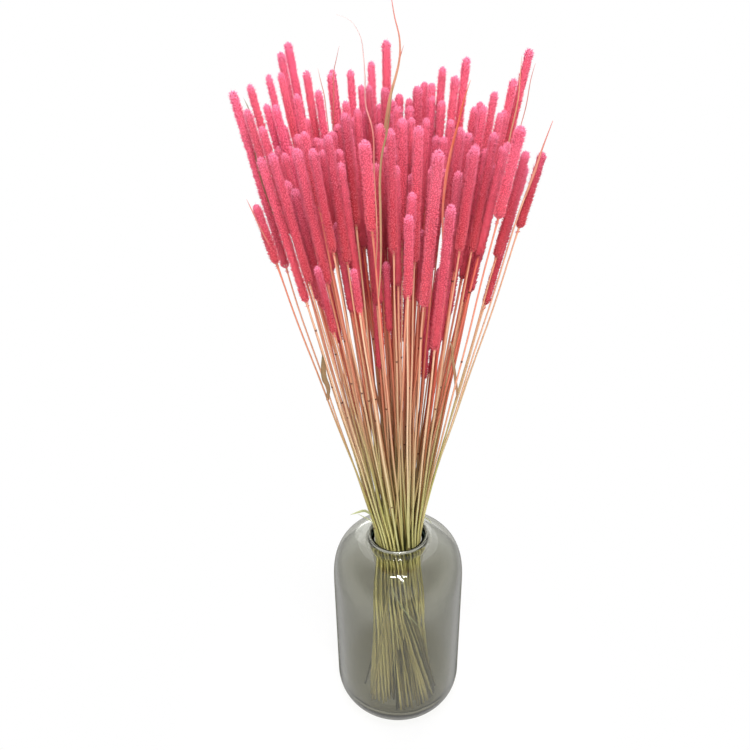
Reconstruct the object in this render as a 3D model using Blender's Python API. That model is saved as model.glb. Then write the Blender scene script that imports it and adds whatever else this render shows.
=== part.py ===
"""A bunch of dried, pink-dyed timothy grass standing in a smoked glass bottle vase.

The vase is one turned hollow body. Every stalk grew as one piece, a thin stem that ends in a
dense spike, and so is one closed solid. Two shoots end in a long leaf blade instead.
Metres, +Z up; the origin is the middle of the foot of the vase.
"""
import math

import bmesh
import bpy
import numpy as np

MM = 0.001
CM = 0.01
TINY = 1e-6 * MM

# The vase: foot, heel, straight wall, round shoulder, short neck and a rolled rim.
VASE_RADIUS = 65 * MM
VASE_HEIGHT = 212.6 * MM
FOOT_RADIUS = 41 * MM
HEEL_HEIGHT = 28 * MM
WALL_TOP = 154 * MM
SHOULDER_TOP = 204.6 * MM
NECK_RADIUS = 30 * MM
NECK_BORE = 26.8 * MM
RIM_BEAD = 2.2 * MM
RIM_TURNS = (-50, 0, 50, 90, 135, 180)
WALL_THICKNESS = 3.5 * MM
FLOOR_THICKNESS = 7 * MM
FLOOR_RADIUS = 42 * MM
INNER_HEEL_HEIGHT = 30 * MM
SHOULDER_SQUARENESS = 2.8
VASE_SIDES = 32
HEEL_STEPS = 4
SHOULDER_STEPS = 6
INNER_SHOULDER_STEPS = 5
SEAM_WIDTH = 0.01 * MM
VASE_SHARP_ANGLE = 40

# The bunch: the stalks fan out from a point just below the neck and twist below it.
GAP = 0.35 * MM
FAN_APEX = 140 * MM
NECK_LEVEL = 205 * MM
FOOT_LEVEL = FLOOR_THICKNESS + GAP
FOOT_TURN = np.array([[1.2, -1.8], [1.0, -0.9]])
FOOT_SHIFT = np.array([4, -14]) * MM
STEM_RADIUS = 1.25 * MM
STEM_TOP_RADIUS = 0.8 * MM
STALK_SIDES = 6
STALK_SHARP_ANGLE = 60

# The heights at which a stem may bend, shared by all stems. A level nearer than this to the
# base of the spike is left out.
LEVELS = np.array([FOOT_LEVEL, 70 * MM, 140 * MM, NECK_LEVEL, 270 * MM, 370 * MM, 470 * MM,
                   690 * MM])
LEAST_SPAN = 8 * MM

# Room beside the bunch: it leans on the front of the neck and leaves the back of it open.
NECK_ROOM = 3.0 * MM
RIM_CLEARANCE = 2 * RIM_BEAD
NECK_GAP_BOTTOM = 184 * MM
NECK_GAP_TOP = 219 * MM
NECK_GAP_HALF_WIDTH = 10 * MM
NECK_GAP_FRONT = 12 * MM

# Each stalk: tip across (x), tip deep (y), tip height (z), spike length, all in cm, and the
# width of its spike in mm. Chosen one by one, from the left to the right of each group.
LEFT_FLANK = [
    (-11.9, 0.0, 62.1, 13.3, 6.9),
    (-11.0, 2.0, 62.3, 10.0, 6.2),
    (-10.8, -1.0, 61.0, 11.5, 6.6),
    (-10.4, -3.0, 54.7, 4.6, 7.2),
    (-9.8, 1.5, 61.0, 9.0, 6.4),
    (-9.8, 3.5, 62.8, 9.5, 5.8),
    (-9.1, 5.0, 62.8, 9.0, 6.0),
    (-9.6, -4.0, 58.3, 11.2, 6.6),
    (-9.0, 0.5, 61.1, 8.5, 6.4),
    (-8.6, -5.0, 58.8, 9.8, 6.6),
    (-7.6, 2.2, 61.6, 9.0, 6.0),
    (-8.1, -2.5, 56.3, 9.5, 6.8),
]
BACK_ROW = [
    (-9.2, 6.5, 64.1, 11.5, 6.4),
    (-8.8, 8.0, 64.7, 11.0, 7.2),
    (-7.1, 5.0, 62.9, 10.5, 6.6),
    (-6.1, 3.6, 61.7, 9.0, 6.6),
    (-5.4, 7.0, 62.5, 10.0, 6.6),
    (-3.9, 8.5, 62.6, 9.5, 6.4),
    (-4.0, 3.0, 61.0, 8.0, 6.4),
    (-2.3, 5.5, 61.8, 8.5, 6.0),
    (-2.2, 9.0, 63.2, 9.0, 6.6),
    (-0.95, 8.5, 64.8, 11.0, 7.4),
    (-1.0, 4.0, 61.8, 9.5, 7.2),
    (1.55, 5.0, 61.8, 10.0, 8.0),
    (2.7, 6.0, 61.9, 10.0, 7.2),
    (3.5, 5.9, 63.1, 9.0, 6.4),
    (4.5, 5.5, 62.5, 11.0, 7.2),
    (5.4, 6.5, 63.75, 11.5, 6.8),
    (5.9, 3.6, 60.5, 8.5, 6.4),
    (-5.2, 9.6, 59.6, 8.0, 7.0),
]
RIGHT_FLANK = [
    (6.4, 1.5, 60.9, 9.5, 6.6),
    (7.4, 3.5, 61.6, 10.0, 6.6),
    (9.1, 5.5, 62.3, 12.0, 6.6),
    (10.4, 7.0, 64.3, 11.5, 7.0),
    (8.4, -4.0, 60.4, 6.6, 8.2),
    (9.4, -1.0, 58.1, 8.2, 7.2),
    (9.9, 1.5, 56.5, 11.4, 6.6),
    (11.4, 3.0, 57.2, 6.0, 7.4),
    (6.9, -1.6, 59.5, 9.0, 6.8),
]
FRONT_ROW = [
    (-6.3, -5.0, 60.2, 5.2, 6.2),
    (-6.7, -6.5, 59.4, 10.0, 7.0),
    (-5.6, -7.0, 59.5, 7.4, 6.4),
    (-4.8, -4.5, 59.9, 9.5, 7.0),
    (-3.7, -2.5, 61.0, 8.2, 6.8),
    (-2.15, -8.0, 60.2, 6.2, 8.2),
    (-0.5, -4.5, 60.3, 9.0, 6.6),
    (0.3, -1.6, 60.5, 9.2, 7.4),
    (1.4, -4.0, 60.4, 10.0, 7.2),
    (2.7, -6.5, 59.3, 11.8, 8.0),
    (4.3, -3.5, 60.2, 9.5, 7.0),
    (5.1, -6.0, 59.4, 7.5, 7.2),
]
LOW_FRONT = [
    (-5.8, -6.4, 51.2, 5.6, 5.6),
    (-3.1, -8.0, 51.6, 3.6, 5.4),
    (0.7, -9.0, 55.7, 6.2, 6.4),
    (3.5, -8.4, 56.2, 11.8, 7.0),
    (-7.4, -3.6, 56.0, 9.6, 7.2),
]
STALKS = LEFT_FLANK + BACK_ROW + RIGHT_FLANK + FRONT_ROW + LOW_FRONT

# Stalks that curve: how far aside (x) the middle of each lies from a straight line, and the
# share of it at each level.
SWERVES = {1: -6 * MM, 4: -4 * MM, 38: 4 * MM, 49: -5 * MM}
SWERVE_LEVELS = (0, 0, 0, 0, 0.35, 0.75, 1.0, 0.3)

# Leafy shoots: where the stem ends, then points up the folded blade (across, deep and height in
# cm, and the width in mm). The tall blade is kinked near its top.
TALL_SHOOT_TOP = (-1.4, 2.4, 55.5)
TALL_BLADE = [(-1.05, 2.4, 58.6, 2.8), (-0.7, 2.4, 60.8, 2.6), (0.15, 2.4, 64.6, 1.6),
              (0.12, 2.4, 65.2, 1.4), (-0.27, 2.4, 66.8, 1.0), (-0.55, 2.4, 68.4, 0.5)]
RIGHT_SHOOT_TOP = (10.0, 2.3, 53.4)
RIGHT_BLADE = [(10.7, 2.3, 55.8, 2.6), (11.1, 2.3, 57.4, 1.6), (11.75, 2.3, 59.6, 0.5)]
SHOOTS = {"leafy_shoot_tall": (TALL_SHOOT_TOP, TALL_BLADE),
          "leafy_shoot_right": (RIGHT_SHOOT_TOP, RIGHT_BLADE)}
BLADE_THICKNESS = 0.8 * MM

# A spike's outline: part of its length from the base, and part of its full radius. It bends at
# a level only where that is well inside it.
SPIKE_OUTLINE = [(0.0, 0.42), (0.07, 0.95), (0.86, 0.92), (1.0, 0.4)]
SPIKE_BENDS_WITHIN = (0.12, 0.81)
SPIKE_NECK = 1 * MM
SPIKE_ROOM_BELOW = 4 * MM

# Settling: the air left between stalks, by height, then how firmly each rule acts in a round.
AIR_HEIGHTS = (100 * MM, 190 * MM, 230 * MM, 330 * MM)
AIR_BETWEEN = (1.2 * MM, 1.6 * MM, 1.6 * MM, 0.56 * MM)
SETTLING_ROUNDS = 500
EASE = 0.3
WALL_FORCE = 2.0
STIFFNESS = 0.02
TIP_HOLD = 0.4
SAMPLES_PER_SPAN = 6


def surface(name, colour, roughness, transmission=0.0):
    """A Principled material of one plain colour."""
    material = bpy.data.materials.new(name)
    material.use_nodes = True
    shader = material.node_tree.nodes["Principled BSDF"]
    shader.inputs["Base Color"].default_value = (*colour, 1.0)
    shader.inputs["Roughness"].default_value = roughness
    shader.inputs["Transmission Weight"].default_value = transmission
    return material


def add_object(name, bm, materials, sharp_angle):
    """Turn a bmesh into a smooth-shaded object."""
    mesh = bpy.data.meshes.new(name)
    bm.to_mesh(mesh)
    bm.free()
    for material in materials:
        mesh.materials.append(material)
    mesh.shade_smooth()
    mesh.set_sharp_from_angle(angle=math.radians(sharp_angle))
    piece = bpy.data.objects.new(name, mesh)
    bpy.context.scene.collection.objects.link(piece)


def heel(flat_radius, full_radius, low, height):
    """The quarter ellipse from a flat bottom up to an upright wall."""
    turns = np.linspace(0, math.pi / 2, HEEL_STEPS + 1)
    return [(flat_radius + (full_radius - flat_radius) * math.sin(turn),
             low + height * (1 - math.cos(turn))) for turn in turns]


def shoulder(wall_radius, neck_radius, low, high, steps):
    """The squarish quarter round from an upright wall in to the neck."""
    power = 2 / SHOULDER_SQUARENESS
    turns = np.linspace(0, math.pi / 2, steps + 1)
    return [(neck_radius + (wall_radius - neck_radius) * max(math.cos(turn), 0) ** power,
             low + (high - low) * math.sin(turn) ** power) for turn in turns]


def rim():
    """The rolled bead at the mouth, from its outer underside over the top to the bore."""
    middle = NECK_BORE + RIM_BEAD
    height = VASE_HEIGHT - RIM_BEAD
    return [(middle + RIM_BEAD * math.cos(turn), height + RIM_BEAD * math.sin(turn))
            for turn in np.radians(RIM_TURNS)]


def vase_inside():
    """The inner profile of the vase, from the neck down to the floor."""
    inner = VASE_RADIUS - WALL_THICKNESS
    high = SHOULDER_TOP - WALL_THICKNESS
    upper = shoulder(inner, NECK_BORE, WALL_TOP - WALL_THICKNESS, high, INNER_SHOULDER_STEPS)
    lower = heel(FLOOR_RADIUS, inner, FLOOR_THICKNESS, INNER_HEEL_HEIGHT)
    return upper[::-1] + lower[::-1]


def make_vase():
    """Turn the closed profile of the glass around the upright axis."""
    outside = heel(FOOT_RADIUS, VASE_RADIUS, 0, HEEL_HEIGHT)
    outside += shoulder(VASE_RADIUS, NECK_RADIUS, WALL_TOP, SHOULDER_TOP, SHOULDER_STEPS)
    profile = [(0, 0)] + outside + rim() + vase_inside() + [(0, FLOOR_THICKNESS)]
    bm = bmesh.new()
    points = [bm.verts.new((radius, 0, height)) for radius, height in profile]
    edges = [bm.edges.new(pair) for pair in zip(points, points[1:])]
    bmesh.ops.spin(bm, geom=points + edges, cent=(0, 0, 0), axis=(0, 0, 1),
                   angle=2 * math.pi, steps=VASE_SIDES)
    bmesh.ops.remove_doubles(bm, verts=bm.verts, dist=SEAM_WIDTH)
    bmesh.ops.recalc_face_normals(bm, faces=bm.faces)
    glass = surface("smoked glass", (0.33, 0.34, 0.31), 0.05, transmission=1.0)
    add_object("vase", bm, [glass], VASE_SHARP_ANGLE)


def weights_at(heights):
    """How each height divides between the levels below and above it, a row for each height."""
    span = np.clip(np.searchsorted(LEVELS, heights, side="right") - 1, 0, len(LEVELS) - 2)
    part = (heights - LEVELS[span]) / (LEVELS[span + 1] - LEVELS[span])
    rows = np.zeros((len(heights), len(LEVELS)))
    rows[np.arange(len(heights)), span] = 1 - part
    rows[np.arange(len(heights)), span + 1] = part
    return rows


def point_at(line, height):
    """Where (x, y) a stalk's line is at one height."""
    return weights_at(np.array([height]))[0] @ line


def first_lines(tips):
    """Straight lines from the fan's apex to each tip, twisted aside below the neck."""
    lean = tips[:, :2] / (tips[:, 2:] - FAN_APEX)
    lines = lean[None] * (LEVELS[:, None, None] - FAN_APEX)
    neck = lean * (NECK_LEVEL - FAN_APEX)
    foot = neck @ FOOT_TURN.T + FOOT_SHIFT
    for level, height in enumerate(LEVELS):
        if height < NECK_LEVEL:
            down = (NECK_LEVEL - height) / (NECK_LEVEL - FOOT_LEVEL)
            lines[level] = neck + (foot - neck) * down
    return lines


def stem_radius(heights, base):
    """The radius of a stem that tapers up to the base of its head."""
    return np.interp(heights, [FOOT_LEVEL, base], [STEM_RADIUS, STEM_TOP_RADIUS])


def thickness(stalk, heights):
    """The stalk's radius at each height, and nothing above its tip."""
    top, length, width = stalk[2], stalk[3], stalk[4]
    base = top - length
    radius = np.where(heights > base - SPIKE_ROOM_BELOW, width / 2, stem_radius(heights, base))
    return np.where(heights > top + GAP, 0, radius)


def push_from_gap(at, radii, heights):
    """How far each sample has to move to leave the gap at the back of the neck open: to the
    front of it, or aside where that is nearer."""
    level = ((heights > NECK_GAP_BOTTOM) & (heights < NECK_GAP_TOP))[:, None]
    behind = np.clip(at[..., 1] + radii - NECK_GAP_FRONT, 0, None)
    beside = np.clip(NECK_GAP_HALF_WIDTH + radii - np.abs(at[..., 0]), 0, None)
    aside = beside * np.sign(at[..., 0] + TINY)
    push = np.zeros_like(at)
    push[..., 0] = np.where(level & (behind > beside), aside, 0)
    push[..., 1] = np.where(level & (behind <= beside) & (beside > 0), -behind, 0)
    return push * WALL_FORCE


def settle(lines, swerves, stalks):
    """Move stalks that would touch apart, hold the tips, and keep all inside the glass."""
    tips = stalks[:, :3]
    heights = np.concatenate([np.linspace(low, high, SAMPLES_PER_SPAN, endpoint=False)
                              for low, high in zip(LEVELS, LEVELS[1:])])
    sample = weights_at(heights)
    hold = weights_at(tips[:, 2])
    radii = np.stack([thickness(stalk, heights) for stalk in stalks], axis=1)
    there = radii > 0
    both = there[:, :, None] & there[:, None, :]
    both &= ~np.eye(len(stalks), dtype=bool)
    air = np.interp(heights, AIR_HEIGHTS, AIR_BETWEEN)
    need = radii[:, :, None] + radii[:, None, :] + air[:, None, None]
    inside = sorted((height, radius) for radius, height in vase_inside())
    room = np.interp(heights, [height for height, radius in inside],
                     [radius for height, radius in inside]) - NECK_ROOM
    in_vase = heights < VASE_HEIGHT + RIM_CLEARANCE
    part_way = ((LEVELS[1:-1] - LEVELS[:-2]) / (LEVELS[2:] - LEVELS[:-2]))[:, None, None]
    for _ in range(SETTLING_ROUNDS):
        at = np.einsum("sl,lnc->snc", sample, lines)
        apart = at[:, :, None] - at[:, None, :]
        distance = np.linalg.norm(apart, axis=3) + TINY
        short = np.where(both, np.clip(need - distance, 0, None), 0)
        push = (apart * (short / 2 / distance)[..., None]).sum(axis=2)
        reach = np.linalg.norm(at, axis=2)
        over = np.clip(reach + radii - room[:, None], 0, None) * in_vase[:, None]
        push -= at * (WALL_FORCE * over / (reach + TINY))[..., None]
        push += push_from_gap(at, radii, heights)
        lines += np.einsum("sl,snc->lnc", sample, push) * EASE
        plain = lines - swerves
        straight = plain[:-2] + (plain[2:] - plain[:-2]) * part_way
        lines[1:-1] += (straight - plain[1:-1]) * STIFFNESS
        off = tips[:, :2] - np.einsum("nl,lnc->nc", hold, lines)
        lines += np.einsum("nl,nc->lnc", hold, off) * TIP_HOLD
    return lines


def loft(name, stem, head, materials):
    """Join level rings (x, y, z, half width, half thickness) of a stem and its head into one
    closed body, with the first material on the stem and the second on the head."""
    bm = bmesh.new()
    corners = [2 * math.pi * side / STALK_SIDES for side in range(STALK_SIDES)]
    loops = []
    for x, y, z, wide, thick in stem + head:
        loops.append([bm.verts.new((x + wide * math.cos(corner), y + thick * math.sin(corner), z))
                      for corner in corners])
    for number, (low, high) in enumerate(zip(loops, loops[1:])):
        for side in range(STALK_SIDES):
            face = bm.faces.new((low[side - 1], low[side], high[side], high[side - 1]))
            face.material_index = int(number >= len(stem))
    bm.faces.new(loops[0][::-1])
    bm.faces.new(loops[-1]).material_index = 1
    add_object(name, bm, materials, STALK_SHARP_ANGLE)


def stem_rings(line, base, top):
    """Rings up the stem at the shared levels, and the last one at its top, under the head."""
    rings = []
    for level, height in enumerate(LEVELS):
        if height < base - LEAST_SPAN:
            radius = stem_radius(height, base)
            rings.append((*line[level], height, radius, radius))
    rings.append((*point_at(line, top), top, STEM_TOP_RADIUS, STEM_TOP_RADIUS))
    return rings


def spike_rings(line, base, length, radius):
    """Rings up a spike, with one more where the stalk bends inside it."""
    parts = [part for part, share in SPIKE_OUTLINE]
    shares = [share for part, share in SPIKE_OUTLINE]
    lowest, highest = SPIKE_BENDS_WITHIN
    bends = [bend for bend in (LEVELS - base) / length if lowest < bend < highest]
    rings = []
    for part in sorted(parts + bends):
        height = base + length * part
        full = radius * np.interp(part, parts, shares)
        rings.append((*point_at(line, height), height, full, full))
    return rings


def blade_rings(blade):
    """Rings up a folded leaf blade, which is flat across and comes to a point."""
    rings = []
    for across, deep, height, width in blade:
        thick = min(width * MM, BLADE_THICKNESS)
        rings.append((across * CM, deep * CM, height * CM, width * MM / 2, thick / 2))
    return rings


def make_bunch():
    """Settle all stalks and shoots together, then build each as a body of its own."""
    straw = surface("dry straw", (0.55, 0.45, 0.22), 0.6)
    pink = surface("dyed spike", (0.85, 0.12, 0.22), 0.9)
    leaf = surface("dry leaf", (0.45, 0.25, 0.12), 0.7)
    stalks = np.array(STALKS) * (CM, CM, CM, CM, MM)
    shoots = np.array([(*np.multiply(top, CM), 0, 2 * STEM_TOP_RADIUS)
                       for top, blade in SHOOTS.values()])
    bunch = np.concatenate([stalks, shoots])
    swerves = np.zeros((len(LEVELS), len(bunch), 2))
    for number, aside in SWERVES.items():
        swerves[:, number - 1, 0] = np.multiply(SWERVE_LEVELS, aside)
    lines = settle(first_lines(bunch[:, :3]) + swerves, swerves, bunch)
    for number, (_, _, top, length, width) in enumerate(stalks):
        line = lines[:, number]
        base = top - length
        loft(f"stalk_{number + 1:02d}", stem_rings(line, base, base - SPIKE_NECK),
             spike_rings(line, base, length, width / 2), [straw, pink])
    for number, (name, (top, blade)) in enumerate(SHOOTS.items(), start=len(stalks)):
        height = top[2] * CM
        loft(name, stem_rings(lines[:, number], height, height), blade_rings(blade),
             [straw, leaf])


def main():
    for piece in list(bpy.data.objects):
        bpy.data.objects.remove(piece, do_unlink=True)
    make_vase()
    make_bunch()


main()
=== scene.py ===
"""The looks of a vase of dried timothy grass: smoked glass, straw stems, dyed bristly spikes.

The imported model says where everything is. Each solid stalk is replaced by a detailed one on the
same centre line, more stalks fill the bunch between them, and thin dry leaves hang among them.
Metres, +Z up; the origin is the middle of the foot of the vase.
"""
import math

import bpy
import numpy as np
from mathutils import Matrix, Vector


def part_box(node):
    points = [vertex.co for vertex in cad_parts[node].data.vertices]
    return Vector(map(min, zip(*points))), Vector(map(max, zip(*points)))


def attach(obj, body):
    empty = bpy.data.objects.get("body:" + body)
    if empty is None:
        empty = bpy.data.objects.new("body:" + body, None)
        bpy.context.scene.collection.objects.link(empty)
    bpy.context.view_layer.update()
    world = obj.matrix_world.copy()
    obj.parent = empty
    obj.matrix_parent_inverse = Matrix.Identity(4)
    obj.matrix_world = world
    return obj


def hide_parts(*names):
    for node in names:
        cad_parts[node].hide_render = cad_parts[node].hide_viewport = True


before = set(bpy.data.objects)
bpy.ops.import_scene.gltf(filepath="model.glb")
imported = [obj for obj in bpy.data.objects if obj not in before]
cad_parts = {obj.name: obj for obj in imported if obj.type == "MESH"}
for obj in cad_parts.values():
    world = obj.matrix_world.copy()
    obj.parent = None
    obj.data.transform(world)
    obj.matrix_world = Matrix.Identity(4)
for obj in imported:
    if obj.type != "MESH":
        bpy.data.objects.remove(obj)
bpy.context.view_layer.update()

CM = 0.01
MM = 0.001

# ---------------------------------------------------------------------------------------------
# The vase: a bottle blown in a mould from smoke-tinted glass, with a thick flat foot, a round
# shoulder and a short neck. Its thin lip was cut and melted round in a flame. It stands free.

VASE_RADIUS = 65 * MM
FOOT_RADIUS = 41 * MM
HEEL_HEIGHT = 28 * MM
WALL_TOP = 154 * MM
SHOULDER_TOP = 204.6 * MM
SHOULDER_SQUARENESS = 2.8
NECK_RADIUS = 29.4 * MM
NECK_BORE = 27.3 * MM
LIP_BEAD = 1.15 * MM
GLASS_THICKNESS = 2.4 * MM
FLOOR_THICKNESS = 7 * MM
FLOOR_RADIUS = 44 * MM
INNER_HEEL_HEIGHT = 26 * MM
THROAT_RADIUS = 23.7 * MM
THROAT_TOP = 209.4 * MM
THROAT_FOOT = 201 * MM
LIP_FROM = 211.2 * MM
LIP_STARTS_AT = math.radians(-20)
VASE_SIDES = 96
ROUND_STEPS = 12
CORNER_CUTS = 1
RIPPLE_SCALE = 60.0
RIPPLE_STRENGTH = 0.12
RIPPLE_DEPTH = 1.2 * MM
GLASS_BEND = 1.5
GLASS_ROUGHNESS = 0.02
GLASS_TINT = (0.455, 0.45, 0.395)
SHOULDER_PAINTED_SHEEN = (0.98, 1.0, 1.0)
BASE_PAINTED_SHADE = (0.26, 0.25, 0.17)
RIM_PAINTED_SHADE = (0.20, 0.20, 0.17)
NECK_PAINTED_SHADE = (0.012, 0.02, 0.018)
LIP_PAINTED_LIGHT = (0.85, 0.87, 0.85)
EDGE_PAINTED_SHADE = (0.47, 0.47, 0.44)
SMOKE = (0.42, 0.40, 0.26)
SMOKE_DENSITY = 30
GLASS_SHADOW = (0.97, 0.97, 0.96)
# Between which shares of the vase's height, and of the turn away from the eye, each tint comes in.
BASE_HEIGHTS = (0.2, 0.04)
SHOULDER_HEIGHTS = (0.66, 0.92)
SHOULDER_TURNS = ((0.1, 0.3), (0.62, 0.42))
RIM_TURNS = (0.3, 0.85)
EDGE_TURNS = (0.7, 0.97)
NECK_TURNS = (0.1, 0.4)
SHEET_MARGIN = 0.03     # kept free at both ends of a skin's patch of the bake sheet
WHOLE_SHEET = (0.01, 0.01, 0.99, 0.99)
vase_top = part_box("vase")[1].z


class Flow:
    """A socket in a material. Arithmetic on it adds Math nodes, and node() adds any other."""

    def __init__(self, tree, socket=None):
        self.tree = tree
        self.socket = socket

    def node(self, kind, settings=None, sockets=None, output=0):
        """Add a node: its settings first, then the values or links of its sockets."""
        made = self.tree.nodes.new(kind)
        for name, value in (settings or {}).items():
            if name == "stops":
                stops = made.color_ramp.elements
                stops.remove(stops[1])
                stops[0].position, stops[0].color = value[0][0], (*value[0][1], 1)
                for place, colour in value[1:]:
                    stops.new(place).color = (*colour, 1)
            else:
                setattr(made, name, value)
        for name, value in (sockets or {}).items():
            if isinstance(value, Flow):
                self.tree.links.new(value.socket, made.inputs[name])
            else:
                made.inputs[name].default_value = value
        return Flow(self.tree, made.outputs[output] if made.outputs else None)

    def maths(self, operation, *values):
        return self.node("ShaderNodeMath", {"operation": operation}, dict(enumerate(values)))

    def __add__(self, other):
        return self.maths("ADD", self, other)

    def __sub__(self, other):
        return self.maths("SUBTRACT", self, other)

    def __rsub__(self, other):
        return self.maths("SUBTRACT", other, self)

    def __mul__(self, other):
        return self.maths("MULTIPLY", self, other)

    def ramp(self, low, high):
        """This value as a smooth 0 to 1 between two values; high may be the smaller one."""
        return self.node("ShaderNodeMapRange", {"interpolation_type": "SMOOTHSTEP"},
                         {"Value": self, "From Min": low, "From Max": high})

    def tinted(self, colour, share):
        """This colour with a share of another one mixed in."""
        first = self if self.socket else (1, 1, 1, 1)
        return self.node("ShaderNodeMix", {"data_type": "RGBA"},
                         {0: share, 6: first, 7: colour}, output=2)


def start_finish(name):
    """An empty material, and the Flow that its nodes start from."""
    material = bpy.data.materials.new(name)
    material.use_nodes = True
    material.node_tree.nodes.clear()
    return material, Flow(material.node_tree)


def read_place(flow):
    """The three parts of the place that a piece of mesh was given, point by point."""
    place = flow.node("ShaderNodeAttribute", {"attribute_name": "place"}, output="Vector")
    return [flow.node("ShaderNodeSeparateXYZ", sockets={0: place}, output=axis)
            for axis in "XYZ"]


def read_grain(flow):
    """How pale a piece of mesh is, point by point."""
    return flow.node("ShaderNodeAttribute", {"attribute_name": "grain"}, output="Fac")


def streaked(flow, scales, detail):
    """Noise with its own scale on each axis, which draws it out into streaks."""
    spot = flow.node("ShaderNodeTexCoord", output="Object")
    stretched = flow.node("ShaderNodeVectorMath", {"operation": "MULTIPLY"}, {0: spot, 1: scales})
    return flow.node("ShaderNodeTexNoise", sockets={"Vector": stretched, "Scale": 1.0,
                                                    "Detail": detail})


def shade(red, green, blue):
    """A colour given as a screen shows it (0 to 255), as the light that a shader needs."""
    parts = np.array((red, green, blue)) / 255
    return (*np.where(parts > 0.04045, ((parts + 0.055) / 1.055) ** 2.4, parts / 12.92), 1.0)


def skin(rings, low_end, high_end):
    """Points and triangles over rings of points (ring, side, xyz) and the end points that close
    them, and how far round and how far along each corner of a triangle is, from 0 to 1."""
    count, sides = rings.shape[:2]
    ring, side = [grid.ravel() for grid in np.mgrid[:count - 1, :sides]]
    after = (side + 1) % sides
    here, there = ring * sides + side, ring * sides + after
    cap = np.arange(sides)
    cap_after = (cap + 1) % sides
    last = (count - 1) * sides
    low, high = np.full(sides, count * sides), np.full(sides, count * sides + 1)
    faces = np.concatenate([
        np.stack([here, there, there + sides], axis=1),
        np.stack([here, there + sides, here + sides], axis=1),
        np.stack([low, cap_after, cap], axis=1),
        np.stack([high, last + cap, last + cap_after], axis=1)])
    middles = rings.mean(axis=1)
    steps = np.linalg.norm(np.diff(rings, axis=0), axis=2).max(axis=1)
    along = np.concatenate([[0], np.cumsum(steps)]) / steps.sum()
    along = along * (1 - 2 * SHEET_MARGIN) + SHEET_MARGIN
    left, right = side / sides, (side + 1) / sides
    down, up = along[ring], along[ring + 1]
    edge, edge_after = cap / sides, (cap + 1) / sides
    first, end = np.full(sides, along[0]), np.full(sides, along[-1])
    corners = np.concatenate([
        np.stack([left, down, right, down, right, up], axis=1),
        np.stack([left, down, right, up, left, up], axis=1),
        np.stack([(edge + edge_after) / 2, first * 0, edge_after, first, edge, first], axis=1),
        np.stack([(edge + edge_after) / 2, end * 0 + 1, edge, end, edge_after, end], axis=1)])
    low_end = middles[0] if low_end is None else low_end
    high_end = middles[-1] if high_end is None else high_end
    points = np.concatenate([rings.reshape(-1, 3), [low_end, high_end]])
    return points, faces, corners.reshape(-1, 3, 2)


def places_on(sides, *columns):
    """The place of each point of a skin: the columns hold its three parts, ring by ring."""
    place = np.column_stack(columns)
    return np.concatenate([np.repeat(place, sides, axis=0), place[[0, -1]]])


class Growth:
    """The points and triangles of one piece as it is put together, with what its finish reads:
    at each point a place (tone, height, how far out) and a grain."""

    def __init__(self):
        self.points, self.faces, self.corners = [], [], []
        self.places, self.grains, self.finishes = [], [], []
        self.count = 0

    def add(self, skinned, place, grain=0.5, finish=0, patch=(0, 0, 1, 1)):
        """Add a skin. Patch is the part of the bake sheet that it lies on."""
        points, faces, corners = skinned
        left, low, right, high = patch
        self.points.append(points)
        self.faces.append(faces + self.count)
        self.corners.append(corners * (right - left, high - low) + (left, low))
        self.places.append(np.broadcast_to(place, (len(points), 3)))
        self.grains.append(np.broadcast_to(grain, len(points)))
        self.finishes.append(np.full(len(faces), finish))
        self.count += len(points)

    def piece(self, name, materials):
        """Make it an object that rides with the vase."""
        mesh = bpy.data.meshes.new(name)
        mesh.from_pydata(np.concatenate(self.points).tolist(), [],
                         np.concatenate(self.faces).tolist())
        for material in materials:
            mesh.materials.append(material)
        mesh.polygons.foreach_set("material_index", np.concatenate(self.finishes))
        mesh.shade_smooth()
        places = mesh.attributes.new("place", "FLOAT_VECTOR", "POINT")
        places.data.foreach_set("vector", np.concatenate(self.places).ravel())
        grains = mesh.attributes.new("grain", "FLOAT", "POINT")
        grains.data.foreach_set("value", np.concatenate(self.grains))
        sheet = mesh.uv_layers.new(name="OFBake")
        sheet.uv.foreach_set("vector", np.concatenate(self.corners).ravel())
        made = bpy.data.objects.new(name, mesh)
        bpy.context.scene.collection.objects.link(made)
        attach(made, "root")
        return made


def heel(flat_radius, full_radius, low, height):
    """The quarter ellipse from a flat bottom up to an upright wall, as (radius, height)."""
    turns = np.linspace(0, math.pi / 2, ROUND_STEPS)
    return np.stack([flat_radius + (full_radius - flat_radius) * np.sin(turns),
                     low + height * (1 - np.cos(turns))], axis=1)


def shoulder(wall_radius, neck_radius, low, high):
    """The squarish quarter round from an upright wall in to the neck."""
    power = 2 / SHOULDER_SQUARENESS
    turns = np.linspace(0, math.pi / 2, 2 * ROUND_STEPS)
    return np.stack([neck_radius + (wall_radius - neck_radius) * np.cos(turns).clip(0) ** power,
                     low + (high - low) * np.sin(turns) ** power], axis=1)


def cut_corners(profile):
    """Round every corner of a profile, and keep its two ends."""
    before, after = profile[:-1], profile[1:]
    cut = np.stack([before * 0.75 + after * 0.25, before * 0.25 + after * 0.75], axis=1)
    return np.concatenate([profile[:1], cut.reshape(-1, 2)[1:-1], profile[-1:]])


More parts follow.
